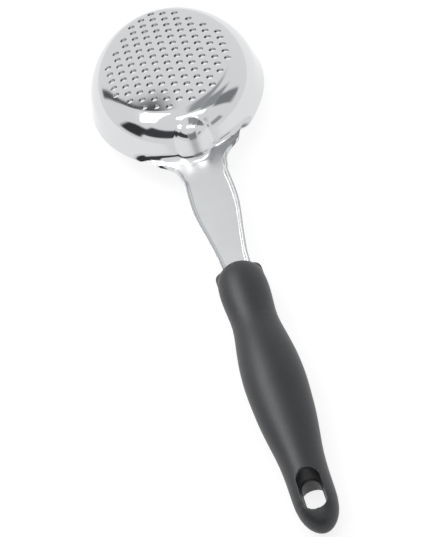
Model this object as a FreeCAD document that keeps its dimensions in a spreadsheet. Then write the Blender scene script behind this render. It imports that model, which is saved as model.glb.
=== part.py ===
import FreeCAD, Part
import Sketcher
import math
import os

# Perforated oval portion spoon: a stamped steel bowl with a channel shank, and a moulded grip on its tang.
# It lies upside down, base up, on the front of its rim and the tip of its grip, with the grip towards -Y.
# Each body is drawn level, its rim plane on XY and the middle of the mouth at the origin, and is then
# tipped and moved by its Placement, which puts the middle of the whole length over the origin. The handle
# is drawn in its own plane, pitched down from the rim's near end: there X is across, Y runs back towards
# the bowl (so stations along the handle are negative) and Z is up.

# Driving dimensions: alias, value in millimetres or degrees, meaning.
SIZES = [
    ("sheet", 1.2, "thickness of the steel sheet"),
    ("bowl_length", 113.4, "over the rim, along the handle"),
    ("bowl_width", 80.8, "over the rim, across the handle"),
    ("bowl_depth", 20.1, "rim plane to the middle of the base, outside"),
    ("lip_width", 0.5, "how far the lip stands out of the wall"),
    ("wall_draft", 15.0, "lean of the wall from upright, degrees"),
    ("corner_radius", 11.5, "outside, where the wall turns into the base"),
    ("crown_across", 171.0, "radius of the base across the handle"),
    ("crown_along", 540.0, "radius of the base along the handle"),
    ("hole_diameter", 2.65, "perforation"),
    ("hole_pitch", 6.1, "between neighbouring holes of the triangular grid"),
    ("rib_half_width", 8.0, "half width of the rounded rib on the wall at the shank"),
    ("rib_height", 14.0, "length of the rib up the wall, from the rim plane"),
    ("rib_stand", 3.2, "how far the rib stands out of the wall"),
    ("handle_pitch", 9.0, "drop of the handle from the rim plane, degrees"),
    ("ear_half_width", 19.0, "half width of the shank where it springs from the rim"),
    ("neck_half_width", 10.7, "half width of the shank behind the ears"),
    ("neck_station", 6.0, "distance from the rim to the neck"),
    ("shoulder_half_width", 11.2, "half width of the shank at its widest"),
    ("shoulder_station", 33.0, "distance from the rim to the widest place"),
    ("shank_end_half_width", 7.1, "half width of the shank where it enters the grip"),
    ("flange_height", 3.2, "over the sheet, from the web's lower face to the flange's edge"),
    ("tang_half_width", 5.5, "half width of the tang"),
    ("tang_length", 92.0, "tang inside the grip"),
    ("flange_entry", 4.0, "how far the flanges enter the grip"),
    ("grip_clearance", 0.03, "gap between the tang and the grip"),
    ("collar_station", 73.0, "distance from the rim to the front of the grip"),
    ("grip_length", 143.3, "front of the grip to its tip"),
    ("guard_half_width", 10.1, "half width of the guard at the front of the grip"),
    ("guard_length", 13.0, "length of the guard along the grip"),
    ("guard_depth", 5.2, "guard below the middle of the grip"),
    ("guard_radius", 5.0, "corners of the guard"),
    ("tip_length", 12.0, "length of the rounded tip"),
    ("slot_length", 19.0, "hanging slot, end to end at its mouth"),
    ("slot_width", 9.4, "hanging slot, side to side at its mouth"),
    ("slot_margin", 6.4, "nylon left between the slot's mouth and the tip"),
    ("slot_draft", 5.0, "lean of the slot's walls, degrees"),
]

# Cross-sections of the grip: share of the way from the collar's front to the rounded tip,
# half width and half thickness in millimetres.
GRIP_SECTIONS = [
    ("front", 0.0, 8.8, 6.2),
    ("arch", 0.035, 9.8, 7.1),
    ("collar", 0.10, 10.4, 7.8),
    ("throat", 0.225, 9.5, 7.2),
    ("rise", 0.35, 11.2, 8.5),
    ("belly", 0.50, 12.5, 9.3),
    ("fall", 0.64, 11.5, 8.8),
    ("waist", 0.86, 8.45, 7.6),
    ("end", 1.0, 8.4, 7.2),
]

# Rows of the perforation run along the handle. From the middle row outwards: holes in the row, and the
# place of its hole nearest the handle, in pitches from the middle of the base.
HOLE_ROWS = [(14, 6.0), (14, 6.5), (13, 6.0), (11, 5.5), (8, 4.0), (5, 2.5)]

# The middle of the sheet, which the grip is centred on, above the handle's plane.
MIDDLE = "Sizes.sheet / 2"

doc = FreeCAD.newDocument("PortionSpoon")
sheet = doc.addObject("Spreadsheet::Sheet", "Sizes")


def fill_sheet():
    rows = SIZES + [("%s_half_width" % n, w, "grip section") for n, _, w, _ in GRIP_SECTIONS]
    rows += [("%s_half_depth" % n, t, "grip section") for n, _, _, t in GRIP_SECTIONS]
    rows += [("%s_share" % n, s, "grip section") for n, s, _, _ in GRIP_SECTIONS]
    for row, (alias, number, meaning) in enumerate(rows, start=1):
        sheet.set("A%d" % row, meaning)
        sheet.set("B%d" % row, str(number))
        sheet.setAlias("B%d" % row, alias)
    doc.recompute()


def size(expression):
    """The number that an expression over the sheet's aliases gives now."""
    found = sheet.evalExpression(expression)
    return float(getattr(found, "Value", found))


def bind(thing, place, expression):
    thing.setExpression(place, expression)


def new_body(label):
    body = doc.addObject("PartDesign::Body", label)
    body.Label = label
    return body


def origin_part(body, role):
    return next(part for part in body.Origin.OriginFeatures if part.Role == role)


def new_sketch(body, name, role="XY_Plane", lift=None, on_handle=False):
    """A sketch on one of the body's planes, or on the handle's plane, lifted along its normal."""
    sketch = body.newObject("Sketcher::SketchObject", name)
    sketch.AttachmentSupport = [(origin_part(body, role), "")]
    sketch.MapMode = "FlatFace"
    if on_handle:
        tilt_onto_handle(sketch, "0", lift or "0")
    elif lift:
        bind(sketch, "AttachmentOffset.Base.z", lift)
    return sketch


def tilt_onto_handle(thing, station, lift, turn=0.0):
    """Attach at a station of the handle's plane. turn stands the sketch up about X, in degrees."""
    pitch = "Sizes.handle_pitch * 1 deg"
    thing.AttachmentOffset = FreeCAD.Placement(
        FreeCAD.Vector(0, 0, 0), FreeCAD.Rotation(FreeCAD.Vector(1, 0, 0), size("Sizes.handle_pitch") + turn))
    along, up = "(%s)" % station, "(%s)" % lift
    bind(thing, "AttachmentOffset.Base.y",
         "-Sizes.bowl_length / 2 - %s * cos(%s) - %s * sin(%s)" % (along, pitch, up, pitch))
    bind(thing, "AttachmentOffset.Base.z", "-%s * sin(%s) + %s * cos(%s)" % (along, pitch, up, pitch))
    bind(thing, "AttachmentOffset.Rotation.Angle", "%s + %g deg" % (pitch, turn))


def pin_point(sketch, geometry, point, x, y):
    for axis, other_axis, expression in (("X", -2, x), ("Y", -1, y)):
        if abs(size(expression)) < 1e-9:
            sketch.addConstraint(Sketcher.Constraint("PointOnObject", geometry, point, other_axis))
            continue
        number = sketch.addConstraint(
            Sketcher.Constraint("Distance" + axis, -1, 1, geometry, point, size(expression)))
        bind(sketch, "Constraints[%d]" % number, expression)


def draw_outline(sketch, corners):
    """A closed outline of straight sides; each corner is a pair of expressions."""
    places = [FreeCAD.Vector(size(x), size(y), 0) for x, y in corners]
    count = len(places)
    first = sketch.GeometryCount
    for side in range(count):
        sketch.addGeometry(Part.LineSegment(places[side], places[(side + 1) % count]), False)
    for side in range(count):
        following = first + (side + 1) % count
        sketch.addConstraint(Sketcher.Constraint("Coincident", first + side, 2, following, 1))
    for side, (x, y) in enumerate(corners, start=first):
        pin_point(sketch, side, 1, x, y)


def mirrored(right_side):
    """A symmetric outline from its right side, listed from the bowl towards the tip."""
    return right_side + [("-(%s)" % x, y) for x, y in reversed(right_side)]


def draw_ellipse(sketch, half_x, half_y):
    rx, ry = size(half_x), size(half_y)
    if rx > ry:
        curve = Part.Ellipse(FreeCAD.Vector(rx, 0, 0), FreeCAD.Vector(0, ry, 0), FreeCAD.Vector(0, 0, 0))
        direction, longer, shorter = "Horizontal", half_x, half_y
    else:
        curve = Part.Ellipse(FreeCAD.Vector(0, ry, 0), FreeCAD.Vector(-rx, 0, 0), FreeCAD.Vector(0, 0, 0))
        direction, longer, shorter = "Vertical", half_y, half_x
    ring = sketch.addGeometry(curve, False)
    sketch.exposeInternalGeometry(ring)
    sketch.addConstraint(Sketcher.Constraint("Coincident", ring, 3, -1, 1))
    sketch.addConstraint(Sketcher.Constraint(direction, ring + 1))
    for axis, expression in ((ring + 1, longer), (ring + 2, shorter)):
        number = sketch.addConstraint(Sketcher.Constraint("Distance", axis, 2 * size(expression)))
        bind(sketch, "Constraints[%d]" % number, "2 * (%s)" % expression)


def add_feature(body, kind, name, profile=None):
    feature = body.newObject("PartDesign::" + kind, name)
    if profile is not None:
        feature.Profile = profile
        profile.Visibility = False
    return feature


def round_edges(body, name, base, wanted, radius):
    """Fillet the edges of the last feature that wanted() picks."""
    doc.recompute()
    names = ["Edge%d" % n for n, edge in enumerate(base.Shape.Edges, start=1) if wanted(edge)]
    if not names:
        raise RuntimeError("%s found no edges" % name)
    fillet = body.newObject("PartDesign::Fillet", name)
    fillet.Base = (base, names)
    bind(fillet, "Radius", radius)


def bowl_form(body, inset, below):
    """The bowl as a solid: leaning wall, crowned base, rounded corner and the rib.
    inset shrinks it evenly, and below carries it on past the rim plane."""
    wall_loft(body, inset, below)
    crown = crown_groove(body, inset)
    round_edges(
        body, "Corner", crown, lambda edge: edge.BoundBox.ZMin > size("Sizes.bowl_depth / 2"),
        "Sizes.corner_radius - %s" % inset)
    wall_rib(body, inset)
    trim = body.newObject("PartDesign::SubtractiveBox", "RimTrim")
    attach_level(body, trim)
    for side, length in (("Length", "Sizes.bowl_width"), ("Width", "Sizes.bowl_length")):
        bind(trim, side, "2 * " + length)
    bind(trim, "Height", "Sizes.bowl_depth")
    bind(trim, "AttachmentOffset.Base.x", "-Sizes.bowl_width")
    bind(trim, "AttachmentOffset.Base.y", "-Sizes.bowl_length")
    bind(trim, "AttachmentOffset.Base.z", "-Sizes.bowl_depth - %s" % below)


def attach_level(body, thing):
    thing.AttachmentSupport = [(origin_part(body, "XY_Plane"), "")]
    thing.MapMode = "FlatFace"


def wall_half(overall, inset):
    """Half of the wall's outline at the rim, inset evenly through the leaning wall."""
    return "(Sizes.%s / 2 - Sizes.lip_width - (%s) / cos(Sizes.wall_draft * 1 deg))" % (overall, inset)


def wall_loft(body, inset, below):
    """The leaning wall, as a solid from the rim plane, or below it, up to the level of the base."""
    half_x, half_y = wall_half("bowl_width", inset), wall_half("bowl_length", inset)
    lean = "Sizes.bowl_depth * tan(Sizes.wall_draft * 1 deg)"
    spread = "%s * tan(Sizes.wall_draft * 1 deg)" % below
    foot = new_sketch(body, "RimOval", lift="-(%s)" % below)
    draw_ellipse(foot, "%s + %s" % (half_x, spread), "%s + %s" % (half_y, spread))
    top = new_sketch(body, "BaseOval", lift="Sizes.bowl_depth")
    draw_ellipse(top, "%s - %s" % (half_x, lean), "%s - %s" % (half_y, lean))
    loft = add_feature(body, "AdditiveLoft", "Wall", foot)
    loft.Sections = [top]
    loft.Ruled = True


def crown_groove(body, inset):
    """Trim the top to a shallow crown, curved across the handle and, less, along it."""
    sketch = new_sketch(body, "CrownLine", role="XZ_Plane")
    reach, radius = "Sizes.bowl_width / 2", "(Sizes.crown_across - %s)" % inset
    level = "Sizes.bowl_depth - %s" % inset
    centre = "%s - %s" % (level, radius)
    foot = "%s + sqrt(%s ^ 2 - (%s) ^ 2)" % (centre, radius, reach)
    head = "Sizes.bowl_depth * 1.5"
    axis_level = "Sizes.bowl_depth - Sizes.crown_along"
    corners = [("-" + reach, foot), ("-" + reach, head), (reach, head), (reach, foot)]
    places = [FreeCAD.Vector(size(x), size(y), 0) for x, y in corners]
    axis = sketch.addGeometry(Part.LineSegment(
        FreeCAD.Vector(size("-" + reach), size(axis_level), 0), FreeCAD.Vector(0, size(axis_level), 0)), True)
    for start in range(3):
        sketch.addGeometry(Part.LineSegment(places[start], places[start + 1]), False)
    half = math.asin(size(reach) / size(radius))
    circle = Part.Circle(FreeCAD.Vector(0, size(centre), 0), FreeCAD.Vector(0, 0, 1), size(radius))
    arc = sketch.addGeometry(Part.ArcOfCircle(circle, math.pi / 2 - half, math.pi / 2 + half), False)
    sketch.addConstraint(Sketcher.Constraint("Horizontal", axis))
    pin_point(sketch, axis, 1, "-" + reach, axis_level)
    for side in (1, 2):
        sketch.addConstraint(Sketcher.Constraint("Coincident", side, 2, side + 1, 1))
        pin_point(sketch, side, 1, *corners[side - 1])
    pin_point(sketch, 3, 1, *corners[2])
    sketch.addConstraint(Sketcher.Constraint("Vertical", 3))
    sketch.addConstraint(Sketcher.Constraint("Coincident", arc, 2, 1, 1))
    sketch.addConstraint(Sketcher.Constraint("Coincident", arc, 1, 3, 2))
    sketch.addConstraint(Sketcher.Constraint("PointOnObject", arc, 3, -2))
    number = sketch.addConstraint(Sketcher.Constraint("Radius", arc, size(radius)))
    bind(sketch, "Constraints[%d]" % number, radius)
    groove = add_feature(body, "Groove", "Crown", sketch)
    groove.ReferenceAxis = (sketch, ["Axis0"])
    groove.Angle = 40
    groove.Midplane = True
    return groove


def wall_rib(body, inset):
    """The rounded rib that stiffens the wall above the shank, with a round top."""
    outer = "((Sizes.rib_half_width ^ 2 + Sizes.rib_stand ^ 2) / (2 * Sizes.rib_stand))"
    shaft = body.newObject("PartDesign::AdditiveCylinder", "RibShaft")
    place_in_wall(body, shaft, "-Sizes.rib_half_width", outer)
    bind(shaft, "Radius", "%s - %s" % (outer, inset))
    bind(shaft, "Height", "Sizes.rib_height")
    top = body.newObject("PartDesign::AdditiveSphere", "RibTop")
    place_in_wall(body, top, "Sizes.rib_height - Sizes.rib_half_width", outer)
    bind(top, "Radius", "%s - %s" % (outer, inset))


def place_in_wall(body, thing, up_wall, radius):
    """Put a primitive's Z axis inside the near wall, parallel to its lean, and up_wall along it."""
    lean = "Sizes.wall_draft * 1 deg"
    attach_level(body, thing)
    thing.AttachmentOffset = FreeCAD.Placement(
        FreeCAD.Vector(0, 0, 0), FreeCAD.Rotation(FreeCAD.Vector(1, 0, 0), -size("Sizes.wall_draft")))
    inside = "(%s - Sizes.rib_stand) / cos(%s)" % (radius, lean)
    wall = wall_half("bowl_length", "0")
    bind(thing, "AttachmentOffset.Base.y", "-%s + %s + (%s) * sin(%s)" % (wall, inside, up_wall, lean))
    bind(thing, "AttachmentOffset.Base.z", "(%s) * cos(%s)" % (up_wall, lean))
    bind(thing, "AttachmentOffset.Rotation.Angle", "-(%s)" % lean)


def rim_lip(body):
    """The narrow lip round the mouth, as a disc that the cavity then opens."""
    disc = new_sketch(body, "LipOval")
    draw_ellipse(disc, "Sizes.bowl_width / 2", "Sizes.bowl_length / 2")
    lip = add_feature(body, "Pad", "Lip", disc)
    bind(lip, "Length", "Sizes.sheet")


def rim_line(x):
    """Where the shank's plate meets the rim at a given x, inside the thickness of the wall."""
    half_x, half_y = "(Sizes.bowl_width / 2 - Sizes.sheet / 4)", "(Sizes.bowl_length / 2 - Sizes.sheet / 4)"
    return "Sizes.bowl_length / 2 - %s * sqrt(1 - (%s) ^ 2 / %s ^ 2)" % (half_y, x, half_x)


def shank_side(inset):
    """The right side of the shank's outline, from the ear at the rim to inside the grip."""
    def beside(alias):
        return "Sizes.%s - %s" % (alias, inset)
    entry = "-Sizes.collar_station - Sizes.flange_entry"
    return [
        (beside("ear_half_width"), rim_line("Sizes.ear_half_width")),
        (beside("neck_half_width"), "-Sizes.neck_station"),
        (beside("shoulder_half_width"), "-Sizes.shoulder_station"),
        (beside("shank_end_half_width"), "-Sizes.collar_station"),
        (beside("shank_end_half_width"), entry),
    ]


def shank(body):
    """The web with its tang, and a flange along each side, all in the handle's plane."""
    near, far = "Sizes.ear_half_width / 3", "Sizes.ear_half_width / 3 * 2"
    tang_end = "-Sizes.collar_station - Sizes.tang_length"
    side = shank_side("0")
    outline = [(near, rim_line(near)), (far, rim_line(far))] + side
    outline += [("Sizes.tang_half_width", side[-1][1]), ("Sizes.tang_half_width", tang_end)]
    plate = new_sketch(body, "WebOutline", on_handle=True)
    draw_outline(plate, mirrored(outline))
    web = add_feature(body, "Pad", "Web", plate)
    bind(web, "Length", "Sizes.sheet")
    strips = new_sketch(body, "FlangeOutline", on_handle=True)
    strip = side + list(reversed(shank_side("Sizes.sheet")))
    draw_outline(strips, strip)
    draw_outline(strips, [("-(%s)" % x, y) for x, y in strip])
    flanges = add_feature(body, "Pad", "Flanges", strips)
    bind(flanges, "Length", "Sizes.flange_height")


def perforation_punches(body):
    """A pin for every hole, on a triangular grid whose rows run along the handle."""
    spots = new_sketch(body, "HoleSpots", lift="Sizes.bowl_depth / 3")
    middle = len(HOLE_ROWS) - 1
    up = FreeCAD.Vector(0, 0, 1)
    for column in range(2 * middle + 1):
        count, nearest = HOLE_ROWS[abs(column - middle)]
        for step in range(count):
            across = "%d * Sizes.hole_pitch * sqrt(3) / 2" % (column - middle)
            along = "%g * Sizes.hole_pitch" % (step - nearest)
            centre = FreeCAD.Vector(size(across), size(along), 0)
            circle = spots.addGeometry(Part.Circle(centre, up, size("Sizes.hole_diameter / 2")), False)
            pin_point(spots, circle, 3, across, along)
            if circle:
                spots.addConstraint(Sketcher.Constraint("Equal", 0, circle))
    number = spots.addConstraint(Sketcher.Constraint("Diameter", 0, size("Sizes.hole_diameter")))
    bind(spots, "Constraints[%d]" % number, "Sizes.hole_diameter")
    pins = add_feature(body, "Pad", "Pins", spots)
    bind(pins, "Length", "Sizes.bowl_depth")


def grip_station(share):
    """Distance from the rim to a cross-section of the grip."""
    return "Sizes.collar_station + %s * (Sizes.grip_length - Sizes.tip_length)" % share


def grip_form(body):
    """The swelling grip, lofted through its cross-sections and closed with a rounded tip."""
    rings = []
    for name, _, _, _ in GRIP_SECTIONS:
        ring = new_sketch(body, name.capitalize() + "Section")
        tilt_onto_handle(ring, grip_station("Sizes.%s_share" % name), MIDDLE, turn=90)
        draw_ellipse(ring, "Sizes.%s_half_width" % name, "Sizes.%s_half_depth" % name)
        rings.append(ring)
    form = add_feature(body, "AdditiveLoft", "Form", rings[0])
    form.Sections = rings[1:]
    tip = body.newObject("PartDesign::AdditiveEllipsoid", "Tip")
    attach_level(body, tip)
    tilt_onto_handle(tip, grip_station("1"), MIDDLE, turn=90)
    bind(tip, "Radius1", "Sizes.tip_length")
    bind(tip, "Radius2", "Sizes.end_half_width")
    bind(tip, "Radius3", "Sizes.end_half_depth")


def guard(body):
    """The blunt ledge at the front of the grip, on the side away from the flanges."""
    front, back = "-Sizes.collar_station", "-Sizes.collar_station - Sizes.guard_length"
    ledge = new_sketch(body, "GuardOutline", on_handle=True, lift=MIDDLE)
    half, cut = "Sizes.guard_half_width", "Sizes.guard_radius"
    draw_outline(ledge, mirrored([
        ("%s - %s" % (half, cut), front), (half, "%s - %s" % (front, cut)), (half, back)]))
    pad = add_feature(body, "Pad", "Guard", ledge)
    pad.Reversed = True
    bind(pad, "Length", "Sizes.guard_depth")


def tang_seat(body):
    """Room for the tang, and a wider mouth in front for the ends of the flanges."""
    gap = "Sizes.grip_clearance"
    for name, half, top, depth in (
            ("TangSlot", "Sizes.tang_half_width", "Sizes.sheet", "Sizes.tang_length"),
            ("FlangeMouth", "Sizes.shank_end_half_width", "Sizes.flange_height", "Sizes.flange_entry")):
        section = new_sketch(body, name + "Section")
        tilt_onto_handle(section, "Sizes.collar_station", "0", turn=90)
        wide = "%s + %s" % (half, gap)
        draw_outline(section, [("-(%s)" % wide, "-" + gap), (wide, "-" + gap),
                               (wide, "%s + %s" % (top, gap)), ("-(%s)" % wide, "%s + %s" % (top, gap))])
        pocket = add_feature(body, "Pocket", name, section)
        pocket.Reversed = True
        bind(pocket, "Length", "%s + %s" % (depth, gap))


def hanging_slot(body):
    """An oblong hole through the end of the grip, narrowing from both faces to its middle."""
    end = "-Sizes.collar_station - Sizes.grip_length + Sizes.slot_margin"
    shrink = "Sizes.end_half_depth * tan(Sizes.slot_draft * 1 deg)"
    radius = "(Sizes.slot_width / 2 - %s)" % shrink
    low = "%s + Sizes.slot_width / 2" % end
    high = "%s + Sizes.slot_length - Sizes.slot_width / 2" % end
    for name, upward in (("SlotAbove", True), ("SlotBelow", False)):
        sketch = new_sketch(body, name + "Outline", on_handle=True, lift=MIDDLE)
        draw_oblong(sketch, radius, low, high)
        pocket = add_feature(body, "Pocket", name, sketch)
        pocket.Reversed = upward
        bind(pocket, "Length", "2 * Sizes.end_half_depth")
        bind(pocket, "TaperAngle", "Sizes.slot_draft")


def draw_oblong(sketch, radius, low, high):
    """A slot outline along Y: two round ends and two straight sides."""
    r, y0, y1 = size(radius), size(low), size(high)
    up = FreeCAD.Vector(0, 0, 1)
    top = sketch.addGeometry(
        Part.ArcOfCircle(Part.Circle(FreeCAD.Vector(0, y1, 0), up, r), 0, math.pi), False)
    left = sketch.addGeometry(Part.LineSegment(FreeCAD.Vector(-r, y1, 0), FreeCAD.Vector(-r, y0, 0)), False)
    bottom = sketch.addGeometry(
        Part.ArcOfCircle(Part.Circle(FreeCAD.Vector(0, y0, 0), up, r), math.pi, 2 * math.pi), False)
    right = sketch.addGeometry(Part.LineSegment(FreeCAD.Vector(r, y0, 0), FreeCAD.Vector(r, y1, 0)), False)
    ring = (top, left, bottom, right)
    for one, other in zip(ring, ring[1:] + ring[:1]):
        sketch.addConstraint(Sketcher.Constraint("Tangent", one, 2, other, 1))
    for arc, level in ((top, high), (bottom, low)):
        sketch.addConstraint(Sketcher.Constraint("PointOnObject", arc, 3, -2))
        number = sketch.addConstraint(Sketcher.Constraint("DistanceY", -1, 1, arc, 3, size(level)))
        bind(sketch, "Constraints[%d]" % number, level)
    number = sketch.addConstraint(Sketcher.Constraint("Radius", top, r))
    bind(sketch, "Constraints[%d]" % number, radius)


def resting_place():
    """Tip the level spoon until the front of its rim and the underside of its tip are both at height 0,
    and put the middle of its whole length over the origin."""
    pitch = math.radians(size("Sizes.handle_pitch"))
    half, along = size("Sizes.bowl_length") / 2, size(grip_station("1"))
    lift, radius = size(MIDDLE), size("Sizes.end_half_depth")
    end = FreeCAD.Vector(0, -half - along * math.cos(pitch) - lift * math.sin(pitch),
                         lift * math.cos(pitch) - along * math.sin(pitch))
    reach = math.hypot(half - end.y, end.z)
    tip = math.atan2(-end.z, half - end.y) + math.asin(radius / reach)
    turn = FreeCAD.Rotation(FreeCAD.Vector(1, 0, 0), -math.degrees(tip))
    front, back = turn.multVec(FreeCAD.Vector(0, half, 0)), turn.multVec(end)
    middle = (front.y + back.y - size("Sizes.tip_length")) / 2
    return FreeCAD.Placement(FreeCAD.Vector(0, -middle, -front.z), turn)


def finish_document(parts):
    """Lay the parts down as they rest, check everything, and write one file for each part."""
    for feature in doc.Objects:
        if hasattr(feature, "Refine"):
            feature.Refine = False
    for body in parts:
        body.Placement = resting_place()
    doc.recompute()
    for thing in doc.Objects:
        if "Invalid" in thing.State or "Error" in thing.State:
            raise RuntimeError("%s failed: %s" % (thing.Name, thing.getStatusString()))
    for body in parts:
        if body.Shape.isNull() or not body.Shape.isValid() or len(body.Shape.Solids) != 1:
            raise RuntimeError("%s is not one valid solid" % body.Label)
    os.makedirs("parts", exist_ok=True)
    for body in parts:
        body.Shape.exportStep("parts/%s.step" % body.Label)
        print("%s: %.0f cubic mm" % (body.Label, body.Shape.Volume))


fill_sheet()
steel = new_body("bowl_and_shank")
bowl_form(steel, "0", "0")
rim_lip(steel)
shank(steel)
cavity = new_body("bowl_cavity")
bowl_form(cavity, "Sizes.sheet", "2 * Sizes.sheet")
punches = new_body("perforation_punches")
perforation_punches(punches)
hollow = steel.newObject("PartDesign::Boolean", "Hollow")
hollow.Type = "Cut"
hollow.setObjects([cavity, punches])
grip = new_body("grip")
grip_form(grip)
guard(grip)
tang_seat(grip)
hanging_slot(grip)
finish_document([steel, grip])
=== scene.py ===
"""A perforated portion spoon lying upside down: a polished steel bowl drawn in one sheet with its
channel shank, and a moulded nylon grip with a hanging slot."""

import math

import bpy
from mathutils import Matrix, Quaternion, Vector


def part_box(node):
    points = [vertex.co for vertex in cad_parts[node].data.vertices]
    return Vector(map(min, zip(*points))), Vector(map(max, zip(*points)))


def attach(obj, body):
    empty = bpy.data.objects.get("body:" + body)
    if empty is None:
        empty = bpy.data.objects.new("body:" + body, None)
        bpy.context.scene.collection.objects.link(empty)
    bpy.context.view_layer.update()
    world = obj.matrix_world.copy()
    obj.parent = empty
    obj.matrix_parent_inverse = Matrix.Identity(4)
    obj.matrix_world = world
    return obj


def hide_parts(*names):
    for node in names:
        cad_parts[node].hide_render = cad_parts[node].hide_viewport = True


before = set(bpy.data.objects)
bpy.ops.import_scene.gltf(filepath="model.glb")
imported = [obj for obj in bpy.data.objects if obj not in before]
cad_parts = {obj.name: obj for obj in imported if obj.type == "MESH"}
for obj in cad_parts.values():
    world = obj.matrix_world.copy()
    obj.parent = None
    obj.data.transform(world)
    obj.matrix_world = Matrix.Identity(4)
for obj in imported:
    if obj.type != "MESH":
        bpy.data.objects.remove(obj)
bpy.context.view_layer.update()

MM = 0.001
steel_low, steel_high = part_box("bowl_and_shank")

# The bowl, drawn level: rim plane at height 0, mouth down, the middle of the mouth at the origin.
SHEET = 1.2 * MM
HALF_WIDTH, HALF_LENGTH = 40.4 * MM, 56.7 * MM
DEPTH = 20.1 * MM
DRAFT = math.radians(15)
CORNER = 11.5 * MM
CROWN_ACROSS, CROWN_ALONG = 171 * MM, 540 * MM
SEGMENTS = 384
BASE_RINGS, CORNER_STEPS, WALL_CUTS = 24, 16, 15
EDGE_ROUNDING = 0.28 * MM
JUST = 0.1 * MM  # near enough to count as being on a line

# The perforation: rows along the handle from the middle one outwards, each with its number of holes and
# the place of the hole nearest the handle, in pitches from the middle of the base.
PITCH = 6.1 * MM
HOLE_RADIUS = 1.36 * MM
HOLE_FLARE = 0.12 * MM
HOLE_BREAK = 2.6 * MM  # where the punch breaks out, inside the bowl
HOLE_ROWS = [(14, 6.0), (14, 6.5), (13, 6.0), (11, 5.5), (8, 4.0), (5, 2.5)]

# The rib on the wall above the shank.
RIB_HALF_WIDTH, RIB_STAND, RIB_SPINE = 7.9 * MM, 3.2 * MM, 8.5 * MM

# The shank, measured along its own plane from the rim, in millimetres and degrees. Each row of its sheet:
# place of its middle, then of the fold at its side (half width, place), then the strip outside the fold:
# how far it leans towards the bowl, its width, and how far it is folded up.
HANDLE_PITCH = math.radians(9)
EAR_HALF_WIDTH = 21.0 * MM
EAR_RISE = 5.0 * MM
# The wall's foot runs out towards the handle at each ear: how far, at what half width, over what width to
# either side, and from what height.
NEAR_FLARE, FLARE_MIDDLE, FLARE_SPREAD, FLARE_HEIGHT = 2.6 * MM, 19 * MM, 15 * MM, 3.8 * MM
# The bend between the wall and the web reaches this far from the rim.
BEND_REACH = 1.6 * MM
FOLD_SHARE = 0.8
EAR_ROWS = [
    (4.1, 16.3, -2.0, 36, 4.4, 0), (4.5, 15.6, -1.2, 34, 3.9, 5), (5.0, 14.7, -0.2, 30, 3.3, 14),
    (5.6, 13.6, 0.8, 25, 2.8, 26), (6.3, 12.5, 2.1, 19, 2.5, 40), (7.2, 11.4, 3.6, 13, 2.4, 55),
    (8.3, 10.4, 5.4, 8, 2.4, 70), (9.6, 9.5, 7.6, 4, 2.4, 82), (11.0, 8.95, 10.0, 1, 2.4, 90),
    (13.0, 8.75, 12.8, 0, 2.4, 90)]
# Behind the ears: place and half width over the flanges.
SHANK_ROWS = [
    (15.5, 10.7), (19.0, 10.8), (24.0, 11.05), (29.0, 11.2), (33.5, 11.2), (38.5, 10.9), (43.4, 10.3),
    (48.3, 9.6), (53.1, 8.9), (57.8, 8.3), (62.6, 7.7), (67.3, 7.2), (72.0, 7.0), (76.5, 7.0)]
STRIP_WIDTH = 2.4 * MM
FOLD_ROOM = 2.8 * MM  # from the flange's outside back to the start of its fold
STRIP_PIECES, CURLED = 12, 0.6  # steps across a strip, and the share of it over which it curls

# The grip: distance from the rim, half width and half depth of each cross-section, in millimetres.
GRIP_RINGS = [
    (73.2, 4.0, 3.6), (73.9, 6.2, 4.9), (75.4, 7.9, 6.0), (78.0, 9.3, 6.9), (81.0, 10.0, 7.4),
    (84.5, 10.3, 7.7), (88.0, 10.4, 7.8), (92.5, 10.25, 7.7), (97.0, 9.95, 7.5), (101.5, 9.65, 7.3),
    (105.9, 9.6, 7.2), (110.3, 9.95, 7.4), (114.6, 10.5, 7.8), (119.0, 11.1, 8.3), (123.3, 11.6, 8.7),
    (127.6, 12.05, 9.0), (131.8, 12.3, 9.2), (136.0, 12.48, 9.3), (140.2, 12.5, 9.3), (144.4, 12.4, 9.25),
    (148.5, 12.2, 9.1), (152.7, 11.95, 8.95), (156.8, 11.7, 8.8), (160.8, 11.35, 8.65),
    (164.9, 10.9, 8.5), (168.9, 10.4, 8.3), (172.8, 9.9, 8.1), (176.8, 9.4, 7.9), (180.7, 9.0, 7.75),
    (184.6, 8.75, 7.65), (190.0, 8.55, 7.55), (196.0, 8.5, 7.4), (200.0, 8.48, 7.3), (203.7, 8.3, 7.15),
    (207.5, 7.7, 6.7), (210.0, 6.95, 6.15), (212.2, 5.9, 5.4), (214.0, 4.6, 4.4), (215.3, 3.2, 3.2),
    (216.0, 1.9, 2.0), (216.25, 0.9, 1.0)]
GRIP_MIDDLE = SHEET / 2
GRIP_SEGMENTS = 64
GRIP_GRAIN = 0.42 * MM  # mesh size once its parts have flowed together
TIP_STATION, TIP_RADIUS = 204.3 * MM, 7.2 * MM  # where the grip rests, and how thick it is under its middle
GUARD_HALF_WIDTH, GUARD_TOP, GUARD_BOTTOM = 10.0 * MM, 1.9 * MM, -5.0 * MM
GUARD_FRONT, GUARD_BACK = 73.0 * MM, 87.0 * MM
GUARD_CORNER, GUARD_ROUNDING = 3.6 * MM, 1.6 * MM
SLOT_NEAR, SLOT_FAR = 190.9 * MM, 209.9 * MM
SLOT_HALF_WIDTH = 4.7 * MM
SLOT_DRAFT = math.radians(5)
SLOT_STEP = 0.35 * MM  # the lower half of the slot is this much narrower a side
SLOT_REACH, SLOT_MOUTH = 9.5 * MM, 7.0 * MM  # half height of its tools, and of the grip at its mouth


# ---------------------------------------------------------------- the bench: choosing and shaping

def only(piece):
    """Leave one piece selected and active."""
    for other in list(bpy.context.selected_objects):
        other.select_set(False)
    piece.select_set(True)
    bpy.context.view_layer.objects.active = piece


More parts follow.
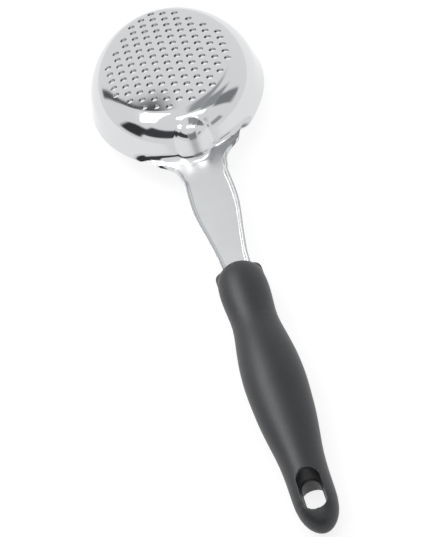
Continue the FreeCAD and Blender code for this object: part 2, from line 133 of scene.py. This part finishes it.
def start(name):
    """Name the primitive just added, and hand it over in edit mode."""
    piece = bpy.context.object
    piece.name = piece.data.name = name
    only(piece)
    bpy.ops.object.mode_set(mode="EDIT")
    return piece


def leave_edit():
    if bpy.context.object and bpy.context.object.mode == "EDIT":
        bpy.ops.object.mode_set(mode="OBJECT")


def deselect_everything():
    leave_edit()
    for other in list(bpy.context.selected_objects):
        other.select_set(False)


def pick(piece, kind, wanted):
    """Select the vertices, edges or faces that wanted() accepts, and nothing else."""
    bpy.ops.mesh.select_mode(type=kind)
    bpy.ops.mesh.select_all(action="DESELECT")
    bpy.ops.object.mode_set(mode="OBJECT")
    mesh = piece.data
    things = {"VERT": mesh.vertices, "EDGE": mesh.edges, "FACE": mesh.polygons}[kind]
    for thing in things:
        if wanted(thing):
            thing.select = True
    bpy.ops.object.mode_set(mode="EDIT")


def apply_modifier(piece, kind, **settings):
    leave_edit()
    only(piece)
    modifier = piece.modifiers.new(kind.title(), kind)
    for name, value in settings.items():
        setattr(modifier, name, value)
    bpy.ops.object.modifier_apply(modifier=modifier.name)


def apply_place(piece, matrix):
    """Move a finished piece to its place, and leave its object at the origin, unturned."""
    leave_edit()
    only(piece)
    piece.matrix_world = matrix
    bpy.ops.object.transform_apply(location=True, rotation=True, scale=True)


# ---------------------------------------------------------------- where things lie

def handle_place():
    """From the handle's own plane, with its tip along -Y, to the level bowl."""
    return Matrix.Translation((0, -HALF_LENGTH, 0)) @ Matrix.Rotation(HANDLE_PITCH, 4, "X")


def resting_place():
    """Tip the level spoon onto the front of its rim and the underside of its tip."""
    end = handle_place() @ Vector((0, -TIP_STATION, GRIP_MIDDLE))
    reach = math.hypot(HALF_LENGTH - end.y, end.z)
    tip = math.atan2(-end.z, HALF_LENGTH - end.y) + math.asin(TIP_RADIUS / reach)
    turn = Matrix.Rotation(-tip, 4, "X")
    front = turn @ Vector((0, HALF_LENGTH, 0))
    top = turn @ Vector((0, HALF_LENGTH, SHEET))
    return Matrix.Translation((0, steel_high.y - max(front.y, top.y), steel_low.z - front.z)) @ turn


# ---------------------------------------------------------------- the steel

def grow_ring(half_x, half_y, rise, last):
    """Extrude the selected ring and bring the new one to its half sizes. last is the ring before."""
    bpy.ops.mesh.extrude_region_move(TRANSFORM_OT_translate={"value": (0, 0, rise)})
    bpy.ops.transform.resize(value=(half_x / last[0], half_y / last[1], 1), center_override=(0, 0, 0))
    return half_x, half_y


def drawn_bowl():
    """The bowl's outer skin: crowned base, rounded corner and leaning wall, and its rim's first vertex."""
    lean = math.tan(DRAFT)
    side_drop = HALF_WIDTH ** 2 / (2 * CROWN_ACROSS)
    end_drop = HALF_LENGTH ** 2 / (2 * CROWN_ALONG)
    corner_foot = DEPTH - CORNER + CORNER * math.sin(DRAFT)
    wall_x = HALF_WIDTH + (side_drop - corner_foot) * lean
    wall_y = HALF_LENGTH + (end_drop - corner_foot) * lean
    flat_x, flat_y = wall_x - CORNER * math.cos(DRAFT), wall_y - CORNER * math.cos(DRAFT)

    bpy.ops.mesh.primitive_circle_add(
        vertices=SEGMENTS, radius=1, fill_type="TRIFAN", location=(0, 0, 0), rotation=(0, 0, math.pi / 2))
    bpy.ops.object.transform_apply(location=True, rotation=True, scale=True)
    bowl = start("bowl_and_shank")
    bpy.ops.mesh.select_all(action="SELECT")
    ring = (flat_x / BASE_RINGS, flat_y / BASE_RINGS)
    bpy.ops.transform.resize(value=(ring[0], ring[1], 1), center_override=(0, 0, 0))
    pick(bowl, "VERT", lambda v: v.co.length > ring[0] / 2)
    for step in range(2, BASE_RINGS + 1):
        share = step / BASE_RINGS
        ring = grow_ring(flat_x * share, flat_y * share, 0, ring)
    last_sine = 1.0
    for step in range(1, CORNER_STEPS + 1):
        angle = math.pi / 2 - (math.pi / 2 - DRAFT) * step / CORNER_STEPS
        out, rise = CORNER * math.cos(angle), CORNER * (math.sin(angle) - last_sine)
        last_sine = math.sin(angle)
        ring = grow_ring(flat_x + out, flat_y + out, rise, ring)
    crown_base(bowl)
    bpy.ops.mesh.select_all(action="SELECT")
    bpy.ops.transform.translate(value=(0, 0, DEPTH))
    return bowl, draw_wall(bowl, ring)


def crown_base(bowl):
    """Dome the whole skin: a parabola about its middle, flatter along the handle than across it."""
    squeeze = math.sqrt(CROWN_ACROSS / CROWN_ALONG)
    reach = 200 * MM  # well past the bowl, so that the fall-off is a parabola all over it
    lift = reach ** 2 / (2 * CROWN_ACROSS)
    bpy.ops.mesh.select_all(action="SELECT")
    bpy.ops.transform.resize(value=(1, squeeze, 1), center_override=(0, 0, 0))
    pick(bowl, "VERT", lambda v: v.co.length < JUST)
    bpy.ops.transform.translate(
        value=(0, 0, lift), use_proportional_edit=True, proportional_edit_falloff="INVERSE_SQUARE",
        proportional_size=reach)
    bpy.ops.mesh.select_all(action="SELECT")
    bpy.ops.transform.translate(value=(0, 0, -lift))
    bpy.ops.transform.resize(value=(1, 1 / squeeze, 1), center_override=(0, 0, 0))


def eased(share):
    """0 to 1, starting and ending softly."""
    return share * share * (3 - 2 * share)


def draw_wall(bowl, ring):
    """Draw the wall down from the rounded corner to the rim, a sheet higher where the web joins it."""
    leave_edit()
    bpy.ops.object.mode_set(mode="EDIT")
    rim = len(bowl.data.vertices)
    pick(bowl, "VERT", lambda v: v.index >= rim - SEGMENTS)
    grow_ring(HALF_WIDTH, HALF_LENGTH, 0, ring)
    bpy.ops.transform.resize(value=(1, 1, 0), center_override=(0, 0, 0))
    leave_edit()
    for vertex in list(bowl.data.vertices)[rim:]:
        if vertex.co.y < 0 and abs(vertex.co.x) < EAR_HALF_WIDTH + EAR_RISE:
            lift = SHEET * eased(min(1.0, (EAR_HALF_WIDTH + EAR_RISE - abs(vertex.co.x)) / EAR_RISE))
            vertex.co.z = lift
            vertex.co.y += lift * math.tan(DRAFT)
    bpy.ops.object.mode_set(mode="EDIT")
    # The wall is one band of long faces: cross-cut it finely enough for the rib.
    corner_height = 3.5 * MM  # no edge of the corner stands as high as this
    heights = [vertex.co.z for vertex in bowl.data.vertices]
    pick(bowl, "EDGE", lambda e: abs(heights[e.vertices[0]] - heights[e.vertices[1]]) > corner_height)
    bpy.ops.mesh.subdivide(number_cuts=WALL_CUTS)
    flare_foot(bowl)
    return rim


def flare_foot(bowl):
    """Run the foot of the near wall out towards the handle at both ears."""
    leave_edit()
    for vertex in bowl.data.vertices:
        away = abs(abs(vertex.co.x) - FLARE_MIDDLE) / FLARE_SPREAD
        if vertex.co.y < 0 and vertex.co.z < FLARE_HEIGHT and away < 1:
            down = 1 - vertex.co.z / FLARE_HEIGHT
            vertex.co.y -= NEAR_FLARE * down ** 2 * (1 - away ** 2) ** 2
    bpy.ops.object.mode_set(mode="EDIT")


def draw_out_shank(bowl, rim):
    """Draw the rim's near edge out into the ears and the web, row by row, and fold up their sides."""
    pick(bowl, "VERT", lambda v: rim <= v.index < rim + SEGMENTS and v.co.y < 0
         and abs(v.co.x) < EAR_HALF_WIDTH)
    leave_edit()
    shares = [v.co.x / EAR_HALF_WIDTH for v in bowl.data.vertices if v.select]
    bpy.ops.object.mode_set(mode="EDIT")
    rows = EAR_ROWS + [(place, half - FOLD_ROOM / MM, place, 0, STRIP_WIDTH / MM, 90)
                       for place, half in SHANK_ROWS]
    first = len(bowl.data.vertices)
    last = 0.0
    for row in rows:
        step = row[0] * MM - last
        last = row[0] * MM
        bpy.ops.mesh.extrude_edges_move(TRANSFORM_OT_translate={
            "value": (0, -step * math.cos(HANDLE_PITCH), -step * math.sin(HANDLE_PITCH))})
    leave_edit()
    for number, row in enumerate(rows):
        for place, share in enumerate(shares):
            bowl.data.vertices[first + number * len(shares) + place].co = shank_point(row, share)


def shank_point(row, share):
    """A point of the shank's upper side. share runs from -1 to 1 over a row, and past FOLD_SHARE it climbs
    the folded strip."""
    middle, fold_x, fold_place, lean, width, fold = row
    side = 1 if share > 0 else -1
    web = min(1.0, abs(share) / FOLD_SHARE)
    x = fold_x * MM * web
    place = (middle + (fold_place - middle) * web ** 2) * MM
    y = -HALF_LENGTH - place * math.cos(HANDLE_PITCH) - SHEET * math.sin(HANDLE_PITCH)
    z = SHEET * math.cos(HANDLE_PITCH) - middle * MM * math.sin(HANDLE_PITCH)
    climbed = max(0.0, abs(share) - FOLD_SHARE) / (1 - FOLD_SHARE)
    for piece in range(STRIP_PIECES):
        length = width * MM / STRIP_PIECES
        if climbed < (piece + 0.5) / STRIP_PIECES:
            break
        angle = math.radians(fold) * min(1.0, (piece + 0.5) / (STRIP_PIECES * CURLED))
        out = length * math.cos(angle)
        x += out * math.cos(math.radians(lean))
        y += out * math.sin(math.radians(lean))
        z += length * math.sin(angle)
    return side * x, y, z


def soften_bend(bowl):
    """Ease the corner between the wall and the web into a bend."""
    bpy.ops.object.mode_set(mode="EDIT")
    inner = 0.96  # share of the rim's ellipse inside which nothing is eased
    pick(bowl, "VERT", lambda v: abs(v.co.x) < EAR_HALF_WIDTH * FOLD_SHARE and v.co.z < SHEET + BEND_REACH
         and -HALF_LENGTH - RIB_STAND - BEND_REACH < v.co.y < 0
         and math.hypot(v.co.x / HALF_WIDTH, v.co.y / HALF_LENGTH) > inner)
    bpy.ops.mesh.vertices_smooth(factor=0.5, repeat=8)


def raise_rib(bowl):
    """Push the rib out of the near wall, round-topped, with the web held back behind its foot."""
    bpy.ops.object.mode_set(mode="EDIT")
    pick(bowl, "VERT", lambda v: v.co.y < -HALF_LENGTH - JUST)
    bpy.ops.mesh.hide()
    pick(bowl, "VERT", lambda v: not v.hide and abs(v.co.x) < JUST and v.co.y < 0
         and v.co.z < SHEET + RIB_SPINE)
    bpy.ops.transform.translate(
        value=(0, -RIB_STAND * math.cos(DRAFT), RIB_STAND * math.sin(DRAFT)), use_proportional_edit=True,
        proportional_edit_falloff="INVERSE_SQUARE", proportional_size=RIB_HALF_WIDTH)
    bpy.ops.mesh.reveal(select=False)


def punches():
    """One flared punch, modelled once, and a copy of it over every hole."""
    mouth = HOLE_RADIUS + HOLE_FLARE
    bpy.ops.mesh.primitive_cylinder_add(vertices=26, radius=HOLE_RADIUS + HOLE_FLARE * 3, depth=2 * MM,
                                        end_fill_type="NGON", location=(0, 0, MM))
    punch = start("punch")
    pick(punch, "FACE", lambda f: f.normal.z < -0.5)
    narrow = mouth / (HOLE_RADIUS + HOLE_FLARE * 3)
    bpy.ops.transform.resize(value=(narrow, narrow, 1), center_override=(0, 0, 0))
    last = mouth
    # Down through the sheet: how far, and the radius there.
    for sink, radius in ((HOLE_FLARE, HOLE_RADIUS + HOLE_FLARE * 0.3), (HOLE_FLARE, HOLE_RADIUS),
                         (0.1 * MM, HOLE_RADIUS), (MM, HOLE_BREAK), (6 * MM, HOLE_BREAK)):
        bpy.ops.mesh.extrude_region_move(TRANSFORM_OT_translate={"value": (0, 0, -sink)})
        bpy.ops.transform.resize(value=(radius / last, radius / last, 1), center_override=(0, 0, 0))
        last = radius
    leave_edit()
    apply_place(punch, Matrix.Identity(4))
    copies = []
    middle = len(HOLE_ROWS) - 1
    for column in range(-middle, middle + 1):
        count, nearest = HOLE_ROWS[abs(column)]
        for step in range(count):
            x, y = column * PITCH * math.sqrt(3) / 2, (step - nearest) * PITCH
            copy = punch.copy()
            copy.data = punch.data.copy()
            bpy.context.scene.collection.objects.link(copy)
            copy.location = (x, y, DEPTH - x ** 2 / (2 * CROWN_ACROSS) - y ** 2 / (2 * CROWN_ALONG))
            copies.append(copy)
    bpy.data.objects.remove(punch)
    deselect_everything()
    for copy in copies:
        copy.select_set(True)
    bpy.context.view_layer.objects.active = copies[0]
    bpy.ops.object.join()
    bpy.ops.object.transform_apply(location=True, rotation=True, scale=True)
    return copies[0]


def make_steel():
    deselect_everything()
    bowl, rim = drawn_bowl()
    draw_out_shank(bowl, rim)
    raise_rib(bowl)
    soften_bend(bowl)
    bpy.ops.mesh.select_all(action="SELECT")
    bpy.ops.mesh.remove_doubles(threshold=1e-6)
    bpy.ops.mesh.normals_make_consistent(inside=False)
    apply_modifier(bowl, "SOLIDIFY", thickness=SHEET, offset=-1)
    apply_modifier(bowl, "BEVEL", width=EDGE_ROUNDING, segments=3, limit_method="ANGLE",
                   angle_limit=math.radians(55))
    deselect_everything()
    tool = punches()
    apply_modifier(bowl, "BOOLEAN", operation="DIFFERENCE", object=tool, solver="MANIFOLD")
    bpy.data.objects.remove(tool)
    apply_place(bowl, resting_place())
    only(bowl)
    bpy.ops.object.shade_smooth_by_angle(angle=math.radians(38))
    return bowl


# ---------------------------------------------------------------- the grip

def stadium(name, radius, bottom, top, top_radius):
    """A tool the shape of the slot, standing where it goes: two round ends and leaning walls."""
    height = (top + bottom) / 2
    bpy.ops.mesh.primitive_cylinder_add(vertices=48, radius=radius, depth=abs(top - bottom),
                                        location=(0, 0, height))
    tool = start(name)
    half = (SLOT_FAR - SLOT_NEAR) / 2 - SLOT_HALF_WIDTH
    upward = 1 if top > bottom else -1
    pick(tool, "VERT", lambda v: v.co.z * upward > 0)
    grown = top_radius / radius
    bpy.ops.transform.resize(value=(grown, grown, 1), center_override=(0, 0, height))
    for side in (-1, 1):
        pick(tool, "VERT", lambda v: v.co.y * side > 1e-7)
        bpy.ops.transform.translate(value=(0, side * half, 0))
    leave_edit()
    apply_place(tool, Matrix.Translation((0, -(SLOT_NEAR + SLOT_FAR) / 2, height)))
    return tool


def grip_body():
    """The grip's outside, ring by ring from the collar to the tip."""
    deselect_everything()
    last = GRIP_RINGS[0]
    bpy.ops.mesh.primitive_circle_add(vertices=GRIP_SEGMENTS, radius=MM, fill_type="NGON")
    grip = start("grip")
    bpy.ops.mesh.select_all(action="SELECT")
    bpy.ops.transform.resize(value=(last[1], last[2], 1), center_override=(0, 0, 0))
    bpy.ops.transform.translate(value=(0, 0, last[0] * MM))
    for ring in GRIP_RINGS[1:]:
        bpy.ops.mesh.extrude_region_move(TRANSFORM_OT_translate={"value": (0, 0, (ring[0] - last[0]) * MM)})
        bpy.ops.transform.resize(value=(ring[1] / last[1], ring[2] / last[2], 1), center_override=(0, 0, 0))
        last = ring
    bpy.ops.mesh.select_all(action="SELECT")
    bpy.ops.mesh.normals_make_consistent(inside=False)
    apply_place(grip, Matrix.Translation((0, 0, GRIP_MIDDLE)) @ Matrix.Rotation(math.pi / 2, 4, "X"))
    return grip


def finger_guard():
    """The block under the collar that keeps the fingers off the steel, its front corners well rounded."""
    deselect_everything()
    length, height = GUARD_BACK - GUARD_FRONT, GUARD_TOP - GUARD_BOTTOM
    bpy.ops.mesh.primitive_cube_add(size=1, location=(0, 0, 0))
    guard = start("guard")
    bpy.ops.mesh.select_all(action="SELECT")
    bpy.ops.transform.resize(value=(2 * GUARD_HALF_WIDTH, length, height), center_override=(0, 0, 0))
    bpy.ops.transform.translate(value=(0, -(GUARD_FRONT + GUARD_BACK) / 2, (GUARD_TOP + GUARD_BOTTOM) / 2))
    corners = guard.data.vertices
    pick(guard, "EDGE", lambda e: all(corners[i].co.y > -GUARD_BACK + MM for i in e.vertices)
         and abs(corners[e.vertices[0]].co.x - corners[e.vertices[1]].co.x) < MM)
    bpy.ops.mesh.bevel(offset=GUARD_CORNER, segments=8, affect="EDGES")
    leave_edit()
    apply_modifier(guard, "BEVEL", width=GUARD_ROUNDING, segments=5, limit_method="ANGLE",
                   angle_limit=math.radians(50))
    return guard


def make_grip():
    grip = grip_body()
    guard = finger_guard()
    apply_modifier(grip, "BOOLEAN", operation="UNION", object=guard, solver="EXACT")
    bpy.data.objects.remove(guard)
    grow = math.tan(SLOT_DRAFT)
    overlap = 0.01 * MM  # the two tools pass each other by this much at the middle
    waist = SLOT_HALF_WIDTH - SLOT_MOUTH * grow
    for name, radius, way in (("slot_above", waist, 1), ("slot_below", waist - SLOT_STEP, -1)):
        deselect_everything()
        tool = stadium(name, radius, GRIP_MIDDLE - way * overlap, GRIP_MIDDLE + way * SLOT_REACH,
                       radius + SLOT_REACH * grow)
        apply_modifier(grip, "BOOLEAN", operation="DIFFERENCE", object=tool, solver="EXACT")
        bpy.data.objects.remove(tool)
    apply_modifier(grip, "REMESH", mode="VOXEL", voxel_size=GRIP_GRAIN)
    apply_modifier(grip, "SMOOTH", factor=0.5, iterations=5)
    apply_place(grip, resting_place() @ handle_place())
    only(grip)
    bpy.ops.object.shade_smooth()
    return grip


# ---------------------------------------------------------------- finishes

def linear(code):
    """An sRGB hex colour as linear RGBA."""
    parts = [int(code[i:i + 2], 16) / 255 for i in (1, 3, 5)]
    return tuple(c / 12.92 if c <= 0.04045 else ((c + 0.055) / 1.055) ** 2.4 for c in parts) + (1.0,)


def add_node(tree, kind, links=None, **settings):
    """Add a node: settings are its properties, links are values or sockets for its inputs."""
    made = tree.nodes.new(kind)
    for name, value in settings.items():
        setattr(made, name, value)
    for socket, value in (links or {}).items():
        if isinstance(value, bpy.types.NodeSocket):
            tree.links.new(value, made.inputs[socket])
        else:
            made.inputs[socket].default_value = value
    return made


def new_finish(name):
    finish = bpy.data.materials.new(name)
    finish.use_nodes = True
    tree = finish.node_tree
    tree.nodes.clear()
    shader = add_node(tree, "ShaderNodeBsdfPrincipled")
    add_node(tree, "ShaderNodeOutputMaterial", {"Surface": shader.outputs["BSDF"]})
    place = add_node(tree, "ShaderNodeTexCoord").outputs["Object"]
    return finish, tree, shader, place


def polished_stainless():
    """18/8 stainless, drawn and polished: a mirror on the bowl, softer on the shank, slightly wavy."""
    finish, tree, shader, place = new_finish("polished_stainless_steel")
    shader.inputs["Metallic"].default_value = 1.0
    shader.inputs["Base Color"].default_value = linear("#D3D4D5")
    where = add_node(tree, "ShaderNodeSeparateXYZ", {"Vector": place})
    rim_near = steel_high.y - 2 * HALF_LENGTH
    on_shank = add_node(tree, "ShaderNodeMapRange", {
        "Value": where.outputs["Y"], "From Min": rim_near + 6 * MM, "From Max": rim_near - 6 * MM,
        "To Min": 0.0, "To Max": 1.0})
    # Haze left by the buffing wheel, in patches of about 8 mm.
    haze = add_node(tree, "ShaderNodeTexNoise", {"Vector": place, "Scale": 1 / (8 * MM), "Detail": 3.0})
    gloss = add_node(tree, "ShaderNodeMapRange", {
        "Value": haze.outputs["Fac"], "From Min": 0.3, "From Max": 0.7, "To Min": 0.05, "To Max": 0.10})
    softer = add_node(tree, "ShaderNodeMath", {
        0: on_shank.outputs["Result"], 1: 0.17, 2: gloss.outputs["Result"]}, operation="MULTIPLY_ADD")
    tree.links.new(softer.outputs["Value"], shader.inputs["Roughness"])
    # Polishing lines run along the handle, really 0.02 mm apart, drawn 0.25 mm apart so that they show.
    stretched = add_node(tree, "ShaderNodeMapping", {
        "Vector": place, "Scale": (1 / (0.25 * MM), 1 / (9 * MM), 1 / (0.25 * MM))})
    lines = add_node(tree, "ShaderNodeTexNoise", {"Vector": stretched.outputs["Vector"], "Scale": 1.0,
                                                  "Detail": 2.0})
    # The sheet is drawn slightly uneven, in waves of about 14 mm.
    waves = add_node(tree, "ShaderNodeTexNoise", {"Vector": place, "Scale": 1 / (14 * MM), "Detail": 1.0})
    uneven = add_node(tree, "ShaderNodeBump", {"Height": waves.outputs["Fac"], "Strength": 0.5,
                                               "Distance": 0.10 * MM})
    brushed = add_node(tree, "ShaderNodeBump", {"Height": lines.outputs["Fac"], "Strength": 0.05,
                                                "Distance": 0.02 * MM, "Normal": uneven.outputs["Normal"]})
    tree.links.new(brushed.outputs["Normal"], shader.inputs["Normal"])
    return finish


def moulded_nylon():
    """Glass-filled nylon from a spark-eroded mould: near black, with a fine dry grain and soft sheen."""
    finish, tree, shader, place = new_finish("moulded_black_nylon")
    shader.inputs["IOR"].default_value = 1.53
    tint = add_node(tree, "ShaderNodeTexNoise", {"Vector": place, "Scale": 1 / (18 * MM), "Detail": 4.0})
    shade = add_node(tree, "ShaderNodeMix", {"Factor": tint.outputs["Fac"], "A": linear("#1C1D20"),
                                             "B": linear("#232428")}, data_type="RGBA")
    tree.links.new(shade.outputs["Result"], shader.inputs["Base Color"])
    # Spark grain, really 0.1 mm, drawn 0.35 mm so that it shows.
    grain = add_node(tree, "ShaderNodeTexNoise", {"Vector": place, "Scale": 1 / (0.35 * MM), "Detail": 2.0})
    gloss = add_node(tree, "ShaderNodeMapRange", {
        "Value": grain.outputs["Fac"], "From Min": 0.3, "From Max": 0.7, "To Min": 0.36, "To Max": 0.50})
    tree.links.new(gloss.outputs["Result"], shader.inputs["Roughness"])
    relief = add_node(tree, "ShaderNodeBump", {"Height": grain.outputs["Fac"], "Strength": 0.35,
                                               "Distance": 0.05 * MM})
    tree.links.new(relief.outputs["Normal"], shader.inputs["Normal"])
    return finish


def backlit_acrylic():
    """White opal acrylic lit from below: a floor with almost no shadow."""
    finish, _, shader, _ = new_finish("opal_acrylic_table")
    shader.inputs["Base Color"].default_value = linear("#808080")
    shader.inputs["Roughness"].default_value = 0.9
    shader.inputs["Emission Color"].default_value = linear("#FFFFFF")
    shader.inputs["Emission Strength"].default_value = 0.82
    return finish


# ---------------------------------------------------------------- studio

def add_floor():
    deselect_everything()
    bpy.ops.mesh.primitive_plane_add(size=6, location=(0, 0, 0))
    floor = start("floor")
    leave_edit()
    floor.data.materials.append(backlit_acrylic())


# Dim things in the room: colour, then where each lies along X, Y and Z of the direction looked in, as its
# low and high edge and how soft they are. They are a dark one at the back left, three grey ones overhead to
# the right, two dark ones low on the left, a grey one low on the right and one above the handle.
ROOM = [
    ("#5A5C5F", (-0.62, -0.05, 0.05), (0.80, 0.860, 0.014), (0.15, 0.60, 0.05)),
    ("#A9ABAD", (0.06, 0.32, 0.06), (0.22, 0.80, 0.04), (0.45, 1.10, 0.05)),
    ("#A3A5A7", (0.30, 0.62, 0.05), (0.08, 0.56, 0.05), (0.35, 1.10, 0.05)),
    ("#8C8E90", (0.60, 0.95, 0.04), (-0.02, 0.36, 0.05), (0.25, 0.80, 0.04)),
    ("#3C3E40", (-1.10, -0.80, 0.03), (-0.10, 0.42, 0.05), (0.12, 0.55, 0.05)),
    ("#45474A", (-0.97, -0.42, 0.05), (-0.85, -0.02, 0.06), (0.28, 0.68, 0.04)),
    ("#A6A8AA", (0.62, 0.88, 0.02), (-0.75, -0.44, 0.03), (0.20, 0.40, 0.03)),
    ("#909294", (-0.40, 0.50, 0.10), (-1.10, -0.45, 0.10), (0.08, 0.75, 0.08)),
]


def softbox(name, place, aim, width, height, power):
    lamp = bpy.data.lights.new(name, "AREA")
    lamp.shape = "RECTANGLE"
    lamp.size, lamp.size_y = width, height
    lamp.energy = power
    box = bpy.data.objects.new(name, lamp)
    box.location = place
    box.rotation_euler = (Vector(aim) - Vector(place)).to_track_quat("-Z", "Y").to_euler()
    bpy.context.scene.collection.objects.link(box)


def light_studio():
    """A white room with a few dim things in it, for the steel to mirror, and two softboxes."""
    world = bpy.data.worlds.new("studio")
    bpy.context.scene.world = world
    bpy.context.scene.view_settings.view_transform = "Standard"
    world.use_nodes = True
    tree = world.node_tree
    sky = next(n for n in tree.nodes if n.type == "BACKGROUND")
    where = add_node(tree, "ShaderNodeSeparateXYZ",
                     {"Vector": add_node(tree, "ShaderNodeTexCoord").outputs["Generated"]})

    room = linear("#F7F8F9")
    for dimness, *spans in ROOM:
        inside = 1.0
        for axis, (low, high, soft) in zip("XYZ", spans):
            for off, full in ((low - soft, low + soft), (high + soft, high - soft)):
                edge = add_node(tree, "ShaderNodeMapRange", {
                    "Value": where.outputs[axis], "From Min": off, "From Max": full},
                    interpolation_type="SMOOTHSTEP")
                inside = add_node(tree, "ShaderNodeMath", {0: inside, 1: edge.outputs["Result"]},
                                  operation="MULTIPLY").outputs["Value"]
        room = add_node(tree, "ShaderNodeMix", {"Factor": inside, "A": room, "B": linear(dimness)},
                        data_type="RGBA").outputs["Result"]
    tree.links.new(room, sky.inputs["Color"])
    sky.inputs["Strength"].default_value = 1.02
    middle = (0, 0.08, 0)
    softbox("back_left", (-0.58, 0.68, 1.04), middle, 0.8, 0.36, 6.0)
    softbox("overhead", (0.18, 0.04, 1.32), middle, 0.2, 0.9, 2.4)


def set_camera():
    camera = bpy.data.cameras.new("camera")
    camera.sensor_width = 36
    camera.lens = 149.55
    camera.clip_start = 0.05
    eye, look = Vector((-0.0005, -0.692, 0.6465)), Vector((-0.0086, -0.0167, 0.0113))
    holder = bpy.data.objects.new("camera", camera)
    holder.location = eye
    holder.rotation_mode = "QUATERNION"
    roll = Quaternion((0, 0, 1), math.radians(-19.15))
    holder.rotation_quaternion = (look - eye).to_track_quat("-Z", "Y") @ roll
    bpy.context.scene.collection.objects.link(holder)
    bpy.context.scene.camera = holder


steel = make_steel()
grip = make_grip()
for piece, node, slot, finish in (
        (steel, "bowl_and_shank", "polished_steel", polished_stainless()),
        (grip, "grip", "moulded_nylon", moulded_nylon())):
    piece.name = node + "_visual"
    piece.data.materials.clear()
    piece.data.materials.append(finish)
    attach(piece, "root")
    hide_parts(node)
add_floor()
light_studio()
set_camera()
